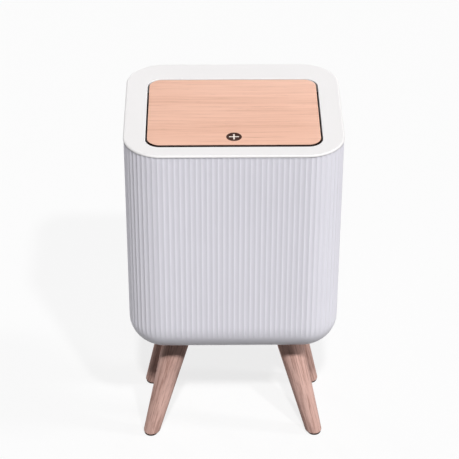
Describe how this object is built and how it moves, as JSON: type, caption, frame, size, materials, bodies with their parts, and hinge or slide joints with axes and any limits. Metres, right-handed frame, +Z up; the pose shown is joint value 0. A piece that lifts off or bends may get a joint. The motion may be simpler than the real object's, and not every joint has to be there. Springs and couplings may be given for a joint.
{
  "type": "push top bin",
  "caption": "Fluted rounded-rectangular bin on splayed tapered legs, with a lift-off cover and a push-to-open sprung flap lid held by a push latch.",
  "frame": {"origin": "on the floor, below the middle of the cover's outline", "axes": "+Z up, -Y towards the front, where the lid is pressed, +X to the right of someone who faces the front"},
  "size_m": [0.24, 0.198, 0.4272],
  "materials": {
    "white_plastic": "satin moulded white",
    "wood_look_panel": "pale peach wood grain, satin",
    "brown_plastic": "dark brown moulded",
    "leg_wood": "warm brown beech grain, satin",
    "rubber": "matt",
    "brass": "machined",
    "steel": "zinc plated",
    "spring_steel": "bright drawn",
    "dark_mark": "dark brown, raised cross in a light tone",
    "grey_plastic": "satin moulded grey",
    "magnet": "nickel plated"
  },
  "bodies": {
    "bin": {"ribbed_body": "white_plastic", "front_left_leg": "leg_wood", "front_right_leg": "leg_wood", "rear_left_leg": "leg_wood", "rear_right_leg": "leg_wood", "front_left_foot_pad": "rubber", "front_right_foot_pad": "rubber", "rear_left_foot_pad": "rubber", "rear_right_foot_pad": "rubber", "leg_inserts": "brass", "leg_washers": "rubber", "leg_screws": "steel"},
    "cover": {"top_cover": "white_plastic", "latch_housing": "grey_plastic", "latch_screws": "steel", "latch_spring": "spring_steel", "left_torsion_spring": "spring_steel", "right_torsion_spring": "spring_steel"},
    "hinge": {"hinge_pin": "steel", "hinge_clips": "spring_steel"},
    "lid": {"lid_panel": "brown_plastic", "lid_facing": "wood_look_panel", "lid_tray": "brown_plastic", "lid_screws": "steel", "press_mark": "dark_mark", "striker_plate": "steel", "striker_screws": "steel"},
    "plunger": {"latch_plunger": "grey_plastic", "latch_magnet": "magnet"}
  },
  "joints": [
    {"name": "cover_lift", "type": "slide", "parent": "bin", "child": "cover", "axis": [0, 0, 1], "range_m": [0, 0.08]},
    {"name": "lid_press", "type": "hinge", "parent": "cover", "child": "hinge", "pos_m": [0, 0.0442, 0.4191], "axis": [-1, 0, 0], "range_deg": [-1.45, 0], "stiffness_Nm_per_rad": 40, "springref_deg": 0.46},
    {"name": "lid_open", "type": "hinge", "parent": "hinge", "child": "lid", "pos_m": [0, 0.0442, 0.4191], "axis": [-1, 0, 0], "range_deg": [0, 90], "deforming": ["left_torsion_spring", "right_torsion_spring"]},
    {"name": "latch_press", "type": "slide", "parent": "cover", "child": "plunger", "axis": [0, 0, 1], "range_m": [-0.003, 0], "deforming": ["latch_spring"]}
  ],
  "couplings": [
    {"joint": "latch_press", "follows": "lid_press", "m_per_rad": 0.1161}
  ]
}
